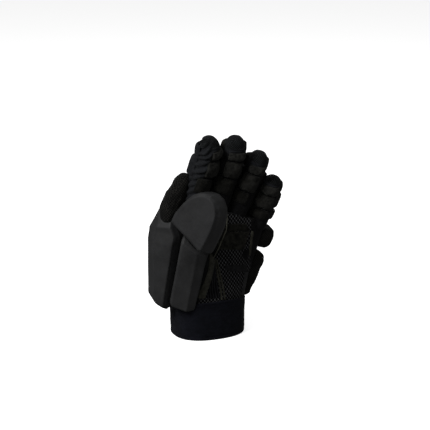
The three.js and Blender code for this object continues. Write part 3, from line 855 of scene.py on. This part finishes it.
# Columns: where the pad starts and ends along the finger, and its height as a share of the finger's foam
BACK_PADS = {"near": (0.22, 0.457, 1), "mid": (0.479, 0.722, 0.85), "end": (0.743, 0.9, 0.5)}
NEAR_BACK_START = {"index": 0.27, "middle": 0.24, "ring": 0.24, "little": 0.3}
BACK_PAD_LEAST = 2.4
BACK_PAD_HALF = 18  # half its width, measured round the finger
BACK_PAD_GAP = 0.35  # between it and the finger's fabric
# Back pads whose tops spread otherwise than those of the rest of their finger
SPREAD_AT = {
    ("index", "near"): (2.6, 2.8), ("index", "end"): (0.5, 0.2), ("middle", "end"): (1.9, 0.4),
    ("ring", "end"): (0.5, 3.2), ("little", "end"): (0.2, 0.5),
}
# The section angles that each grip pad covers
GRIP_ANGLES = {
    "index": {"near": (214, 300), "mid": (244, 334), "end": (254, 352)},
    "middle": {"near": (210, 300), "mid": (228, 322), "end": (230, 324)},
    "ring": {"near": (202, 292), "mid": (216, 312), "end": (226, 322)},
    "little": {"near": (200, 316), "mid": (206, 322), "end": (216, 328)},
}
# The near grip pads take a darker copy of the finger suede: painted shade.
GRIP_SUEDE = {"near": "suede_low", "mid": "suede_grey", "end": "suede_tip"}
GRIP_END = {"index": 0.862, "middle": 0.858, "ring": 0.862, "little": 0.89}
# As shares of the finger's length
CREASE_GAP = 0.012  # between a crease and the grip pads beside it
CAP_RISE = 0.042  # between the upper grip pad and the dotted cap of the fingertip
FINGER_CLOTHS = ["lycra", "dotted", "lycra_dark", "ribbed"]


def grip_pads(name):
    """Where the three grip pads of a finger start and end along it."""
    first, second = FINGERS[name]["creases"]
    return {
        "near": (first - (0.2 if first > 0.5 else 0.165), first - CREASE_GAP),
        "mid": (first + CREASE_GAP, second - CREASE_GAP),
        "end": (second + CREASE_GAP, GRIP_END[name]),
    }


def dress_finger(number, name):
    limb, spec = limbs[name], FINGERS[name]
    length, creases = limb.length, spec["creases"]
    cap = GRIP_END[name] + CAP_RISE

    def relief(s, angle, p):
        """Folds at the creases and under the cap, and slanted ones on the forefinger's outer side."""
        share = s / length
        palm = max(0.0, -sin(radians(angle)))
        folds = 0.0
        for joint, reach in zip(creases, (0.045, 0.04)):
            ripple = sin(s * 2.2 + 1.9 * wrinkle(p, 0.12, number))
            folds += bell(share - joint, reach) * (0.2 + palm) * 0.55 * ripple
        band = bell(share - cap + 0.02, 0.025) * 0.45 * sin(s * 2.2 + 2.5 * wrinkle(p, 0.1, number))
        side = smoothstep(-cos(radians(angle)), 0.0, 0.5) if name == "index" else 0.0
        slanted = 1.05 * side * sin(s * 0.72 - angle * 0.11 + 1.5 * wrinkle(p, 0.07, 7))
        slanted -= 1.5 * side * smoothstep(share, 0.8, 0.9)
        puckers = 0.5 * wrinkle(p, 0.11, number) + 0.3 * wrinkle(p, 0.33, number + 4)
        seam = 0.5 * bell(share - cap, 0.007)
        return (folds + band + slanted + puckers + seam) * min(1.0, (1 - share) * 12)

    def pick(s, angle):
        share = s / length
        if share > cap:
            cloth = "dotted"
        elif share > cap - 0.06 or (name == "index" and 90 < angle < 250):
            cloth = "lycra"
        elif abs(share - creases[0]) < 0.035 or abs(share - creases[1]) < 0.03:
            cloth = "ribbed"
        else:
            cloth = "lycra_dark"
        return FINGER_CLOTHS.index(cloth)

    skin = tube("finger_skin_" + name, limb, 12, 96, 150, FINGER_CLOTHS, relief, pick)
    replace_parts(skin, name + "_finger")

    for bone, (a, b) in grip_pads(name).items():
        low, high = GRIP_ANGLES[name][bone]
        half = spec["width"] * (high - low) / 360 * pi
        obj = patch(
            f"grip_{name}_{bone}", limb_surface(limb, a * length, b * length, low, high, 0.1), (24, 24),
            (half, (b - a) * length / 2), 1.9, 2.6, GRIP_SUEDE[bone], 0.16, number, crown=1.2,
            cloth=(0.05, 6, 1.1),
        )
        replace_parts(obj, f"{name}_grip_pad_{bone}")

    for bone, (a, b, height) in BACK_PADS.items():
        a = NEAR_BACK_START[name] if bone == "near" else a
        thickness = max(spec["pad"] * height, BACK_PAD_LEAST)
        obj = patch(
            f"back_{name}_{bone}", limb_surface(limb, a * length, b * length, 2, 178, BACK_PAD_GAP, True),
            (36, 20), (BACK_PAD_HALF, (b - a) * length / 2), thickness, min(thickness, 2.8),
            "lycra" if name == "index" else "pad_cloth", 0.08, number + 9, crown=0.4,
            spread=SPREAD_AT.get((name, bone), spec["spread"]), cloth=(0.03, 5, 0.9),
        )
        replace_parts(obj, f"{name}_back_pad_{bone}")


for number, name in enumerate(limbs):
    dress_finger(number, name)


# Thumb


def thumb_relief(s, angle, p):
    return (0.5 * wrinkle(p, 0.1, 3) + 0.2 * wrinkle(p, 0.3, 5)) * min(1.0, (thumb_limb.length - s) / 6)


skin = tube("thumb_skin", thumb_limb, 14, 72, 110, ["lycra_dark"], thumb_relief)
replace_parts(skin, "thumb")


# Hand


def add_form(bm, limb, start, end, around, steps):
    """Adds the stretch of a limb between two places as a closed form."""
    verts = []
    for i in range(steps + 1):
        s = start + (end - start) * i / steps
        verts += [bm.verts.new(limb.point(s, 360 * k / around)) for k in range(around)]
    for face in ring_faces(around, steps):
        bm.faces.new([verts[i] for i in face])
    bm.faces.new(verts[:around][::-1])
    bm.faces.new(verts[steps * around :])


def everything(bm):
    return bm.verts[:] + bm.edges[:] + bm.faces[:]


def cut_mesh(bm, point, normal):
    """Removes what lies on the side that normal points to, and closes the cut."""
    geometry = everything(bm)
    result = bmesh.ops.bisect_plane(bm, geom=geometry, plane_co=point, plane_no=normal, clear_outer=True)
    edges = [e for e in result["geom_cut"] if isinstance(e, bmesh.types.BMEdge)]
    bmesh.ops.holes_fill(bm, edges=edges)


def hand_form():
    """The palm and the ball of the thumb, and a web of fabric between the ring and little fingers."""
    bm = bmesh.new()
    add_form(bm, hand_limb, 24, 162, 96, 60)
    cut_mesh(bm, (KNUCKLES["x"], 0, KNUCKLES["z"]), (-KNUCKLES["slope"], 0, 1))
    add_form(bm, mound_limb, 0, mound_limb.length, 48, 40)
    web = bmesh.ops.create_uvsphere(bm, u_segments=24, v_segments=16, radius=1.0)
    for v in web["verts"]:
        v.co = Vector((48.6 + 5.6 * v.co.x, -2 + 7 * v.co.y, 131 + 9 * v.co.z))
    bmesh.ops.recalc_face_normals(bm, faces=bm.faces)
    for v in bm.verts:
        v.co = place(v.co)
    form = bpy.data.meshes.new("hand_form")
    bm.to_mesh(form)
    bm.free()
    return form


def on_palm(face):
    """1 where the fabric is open mesh, and 0 elsewhere."""
    centre = own(face.center)
    beside_thumb = centre.x > -22 + (centre.z - 50) * 0.2
    return int(face.normal.y < -0.25 and beside_thumb and (centre.x < 44.5 or centre.z < 84))


hand_skin = scene_object("hand_skin", hand_form())
hand_mesh = melt(hand_skin, 1.1, 10)
bm = bmesh.new()
bm.from_mesh(hand_mesh)
wrist = place((0, 0, CUFF["top"] - 2.0))
bmesh.ops.bisect_plane(
    bm, geom=everything(bm), plane_co=wrist, plane_no=(0, -CUFF["slope"], 1), clear_inner=True,
)
bm.normal_update()
for v in bm.verts:
    p = own(v.co)
    v.co += v.normal * MM * (0.55 * wrinkle(p, 0.07, 1) + 0.3 * wrinkle(p, 0.2, 2))
bm.to_mesh(hand_mesh)
bm.free()
set_materials(hand_mesh, ["lycra_dark", "mesh"], on_palm)
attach(hand_skin, "root")
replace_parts(hand_skin, "hand")
palm_tree = BVHTree.FromPolygons(
    [v.co for v in hand_mesh.vertices], [tuple(poly.vertices) for poly in hand_mesh.polygons]
)
wall = hand_skin.modifiers.new("wall", "SOLIDIFY")
wall.thickness = 2.2 * MM
wall.offset = -1


def palm_point(q):
    """The point of the palm under x and z, and the direction in which a patch rises there."""
    hit, normal, _, _ = palm_tree.ray_cast(place((q[0], -90, q[1])), Vector((0, 1, 0)))
    if hit is None:
        return Vector((q[0], -15, q[1])), Vector((0, -1, 0))
    return own(hit), (normal + Vector((0, -0.6, 0))).normalized()


def palm_surface(corners):
    """The stretch of the palm under four corners of x and z, anticlockwise as seen from the palm side."""
    a, b, c, d = [Vector(p) for p in corners]

    def surface(u, v):
        low, high = a.lerp(b, (u + 1) / 2), d.lerp(c, (u + 1) / 2)
        return palm_point(low.lerp(high, (v + 1) / 2))

    return surface


def curve_at(path, t):
    """A point on a smooth curve through the points of a path, with t from 0 to 1."""
    x = t * (len(path) - 1)
    i = min(int(x), len(path) - 2)
    t = x - i
    p = [Vector(path[max(0, min(len(path) - 1, k))]) for k in (i - 1, i, i + 1, i + 2)]
    return 0.5 * (
        2 * p[1] + (p[2] - p[0]) * t + (2 * p[0] - 5 * p[1] + 4 * p[2] - p[3]) * t * t
        + (3 * p[1] - 3 * p[2] + p[3] - p[0]) * t**3
    )


def palm_strip_surface(path, half_width):
    """A strip of the palm along a path of x and z."""

    def surface(u, v):
        t = (v + 1) / 2
        along = curve_at(path, min(t + 0.02, 1)) - curve_at(path, max(t - 0.02, 0))
        across = Vector((along.y, -along.x)).normalized()
        return palm_point(curve_at(path, t) + across * (u * half_width))

    return surface


def piping(name, path, radius, lift):
    """A thin round edge sewn on the palm along a path of x and z."""
    count, around = 60, 10
    centres = [palm_point(curve_at(path, i / count)) for i in range(count + 1)]
    verts = []
    for i, (p, up) in enumerate(centres):
        along = (centres[min(i + 1, count)][0] - centres[max(i - 1, 0)][0]).normalized()
        side = along.cross(up).normalized()
        taper = min(1.0, 0.35 + i / 3, 0.35 + (count - i) / 3)
        for k in range(around):
            angle = 2 * pi * k / around
            r = radius * taper * (1 + 0.12 * sin(i * 1.9))
            verts.append(p + up * (lift + r * sin(angle)) + side * (r * cos(angle)))
    ends = [tuple(range(around))[::-1], tuple(range(count * around, len(verts)))]
    new_object(name, verts, ring_faces(around, count) + ends, ["piping"])


# Patch columns: corners as x and z (low left, low right, high right, high left), thickness, material
PALM_PATCHES = {
    "palm_suede_patch": ([(0, 103), (34.5, 98), (42.5, 118), (2, 122)], 1.2, "suede"),
    "palm_suede_band": ([(2, 122.4), (42.7, 118.2), (38.5, 127), (3, 131)], 1.1, "suede_dark"),
    "palm_edge_strip": ([(40, 90), (43.4, 89), (47.4, 117), (44.6, 118)], 1.6, "strip"),
    "palm_corner_cloth": ([(30, 91.5), (38.6, 81.8), (43, 97), (35.2, 97.4)], 0.8, "lycra_dark"),
    "palm_band": ([(9, 78.5), (38, 71.2), (38.6, 79.5), (9, 85)], 1.0, "lycra_band"),
    "palm_side_band": ([(30.5, 45), (36.5, 44.5), (41.2, 70), (35, 72)], 1.0, "lycra_side"),
    "thumb_gusset": ([(-15, 49), (1.4, 48.5), (-4, 88), (-6, 90)], 0.6, "gusset"),
    "thumb_strip_outer": ([(-24.6, 50), (-16, 49.5), (-4.4, 99), (-13, 101)], 1.7, "strip"),
}
# Strip columns: path of x and z, half-width, thickness, material
PALM_STRIPS = {
    "thumb_strip_inner_left": ([(3.2, 46), (1, 66), (-3.6, 92)], 1.1, 1.5, "strip"),
    "thumb_strip_inner_right": ([(7.0, 46), (4.2, 66), (-0.8, 92)], 1.1, 1.5, "strip"),
    "thumb_web": ([(-9, 94), (-2, 107), (4.6, 118), (9, 129), (10, 140)], 3.2, 1.0, "suede_dark"),
}
THUMB_PIPING = [
    (-7.5, 89), (-5.7, 92.6), (-1.8, 97.7), (3.6, 106), (8.3, 114.4), (12.4, 122.8), (13.9, 131.7),
    (14.7, 140.4),
]
for k, (name, (corners, thickness, mat)) in enumerate(PALM_PATCHES.items()):
    width = (Vector(corners[1]) - Vector(corners[0])).length / 2
    height = (Vector(corners[3]) - Vector(corners[0])).length / 2
    obj = patch(
        name, palm_surface(corners), (max(12, int(width * 2.6)), max(12, int(height * 2.6))), (width, height),
        thickness, 1.3, mat, 0.06, k, groove=(2.0, 0.5 if mat == "strip" else 0.25, 0.45),
    )
    if name == "palm_suede_patch":
        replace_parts(obj, "palm_patch")
for k, (name, (path, half_width, thickness, mat)) in enumerate(PALM_STRIPS.items()):
    length = sum((Vector(b) - Vector(a)).length for a, b in zip(path, path[1:])) / 2
    obj = patch(
        name, palm_strip_surface(path, half_width), (10, int(length * 2.4)), (half_width, length), thickness,
        1.0, mat, 0.0, k + 20,
    )
piping("thumb_piping", THUMB_PIPING, 0.75, 0.9)


# Cuff

cuff_limb = upright_limb([
    (z, 0, 0, *(CUFF[k] + wider for k in ("width", "depth", "depth")))
    for z, wider in ((0, 0), (50, CUFF["flare"]))
])


def cuff_band():
    """The band's rings run round its lower rim, up its outside, round its upper rim and down its inside."""
    around, steps, rim = 180, 60, 1.3
    turns = [pi / 2 * i / 6 for i in range(7)]
    rings = [("low", rim * (1 - cos(t)), -rim * (1 - sin(t))) for t in turns]
    rings += [("wall", i / steps, 0.0) for i in range(1, steps)]
    rings += [("high", rim * (1 - sin(t)), -rim * (1 - cos(t))) for t in turns]
    rings += [(kind, value, -CUFF["wall"]) for kind, value in (("high", rim), ("wall", 0.5), ("low", rim))]
    verts = []
    for kind, value, inset in rings:
        for k in range(around):
            angle = 360 * k / around
            top = CUFF["top"] + CUFF["slope"] * (CUFF["depth"] * sin(radians(angle)))
            z = {"low": value, "high": top - value, "wall": rim + (top - 2 * rim) * value}[kind]
            p = cuff_limb.point(z, angle, inset)
            if kind == "wall" and inset == 0:
                hem = -0.55 * bell(z - 4.2, 0.45) - 0.5 * bell(top - z - 3.4, 0.45)
                soft = 0.7 * wrinkle(p, 0.05, 8) + 0.35 * wrinkle(Vector((p.x, p.y, p.z * 2.2)), 0.12, 6)
                fade = min(1.0, z / 6) * min(1.0, (top - z) / 6)
                p = p + cuff_limb.outward(z, angle) * (hem + soft * fade)
            verts.append(p)
    faces = [[i % len(verts) for i in face] for face in ring_faces(around, len(rings))]
    return new_object("cuff_band", verts, faces, ["neoprene"])


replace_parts(cuff_band(), "cuff")


# Cloth simulation

simulate()
for obj, _, _, _ in SEWN:
    obj.modifiers.new("subdivision", "SUBSURF").levels = 1
    apply_modifiers(obj)


# Floor, light and camera

FLOOR_REACH = 3.0
floor_mesh = bpy.data.meshes.new("floor")
floor_corners = [(x * FLOOR_REACH, y * FLOOR_REACH, 0) for x, y in ((-1, -1), (1, -1), (1, 1), (-1, 1))]
floor_mesh.from_pydata(floor_corners, [], [(0, 1, 2, 3)])
floor = scene_object("floor", floor_mesh)
floor_material, _, floor_shader = material("pale floor", (0.93, 0.93, 0.93), 0.9, 0.1)
floor_shader.inputs["Emission Color"].default_value = (1, 1, 1, 1)
floor_shader.inputs["Emission Strength"].default_value = 0.7
floor.visible_diffuse = floor.visible_glossy = False
floor_mesh.materials.append(floor_material)

world = bpy.data.worlds.new("studio")
bpy.context.scene.world = world
world.use_nodes = True
sky = world.node_tree
background = sky.nodes["Background"]
background.inputs["Color"].default_value = (1, 1, 1, 1)
rays = sky.nodes.new("ShaderNodeLightPath")
level = sky.nodes.new("ShaderNodeMapRange")  # white behind the object, and a soft dome of light on it
level.inputs["To Min"].default_value = 0.19
level.inputs["To Max"].default_value = 1.0
sky.links.new(rays.outputs["Is Camera Ray"], level.inputs["Value"])
sky.links.new(level.outputs["Result"], background.inputs["Strength"])


def area_light(name, azimuth, elevation, distance, size, power):
    light = bpy.data.lights.new(name, "AREA")
    light.energy = power
    light.size = size
    obj = scene_object(name, light)
    toward = direction(azimuth, elevation)
    obj.location = Vector((0, 0, 0.11)) + toward * distance
    obj.rotation_euler = toward.to_track_quat("Z", "Y").to_euler()


area_light("key", -72, 42, 1.3, 0.5, 15)
area_light("front", -36, 26, 1.8, 0.8, 2.8)
area_light("back", 150, 50, 1.6, 0.8, 6)

CAMERA_AZIMUTH, CAMERA_ELEVATION = -24, 16
CAMERA_DISTANCE = 2000.0  # millimetres from what it looks at
SENSOR = 36
PIXELS_PER_MM = 0.893
IMAGE = 430
LOOK_PIXEL = (215.4, 229.4)  # where the look point shows in the picture
toward = direction(CAMERA_AZIMUTH, CAMERA_ELEVATION)
right = Vector((cos(radians(CAMERA_AZIMUTH)), sin(radians(CAMERA_AZIMUTH)), 0))
upward = toward.cross(right)
look = Vector((10, 0, 118))
shift_right, shift_up = [(IMAGE / 2 - at) / PIXELS_PER_MM for at in LOOK_PIXEL]
look += right * shift_right - upward * shift_up
camera_data = bpy.data.cameras.new("camera")
camera = scene_object("camera", camera_data)
camera.location = place(look + toward * CAMERA_DISTANCE)
camera.rotation_euler = Matrix((right, upward, toward)).transposed().to_euler()
camera_data.sensor_fit = "HORIZONTAL"
camera_data.sensor_width = SENSOR
camera_data.lens = SENSOR * CAMERA_DISTANCE * PIXELS_PER_MM / IMAGE
camera_data.clip_end = 20
bpy.context.scene.camera = camera
bpy.context.scene.view_settings.view_transform = "Standard"
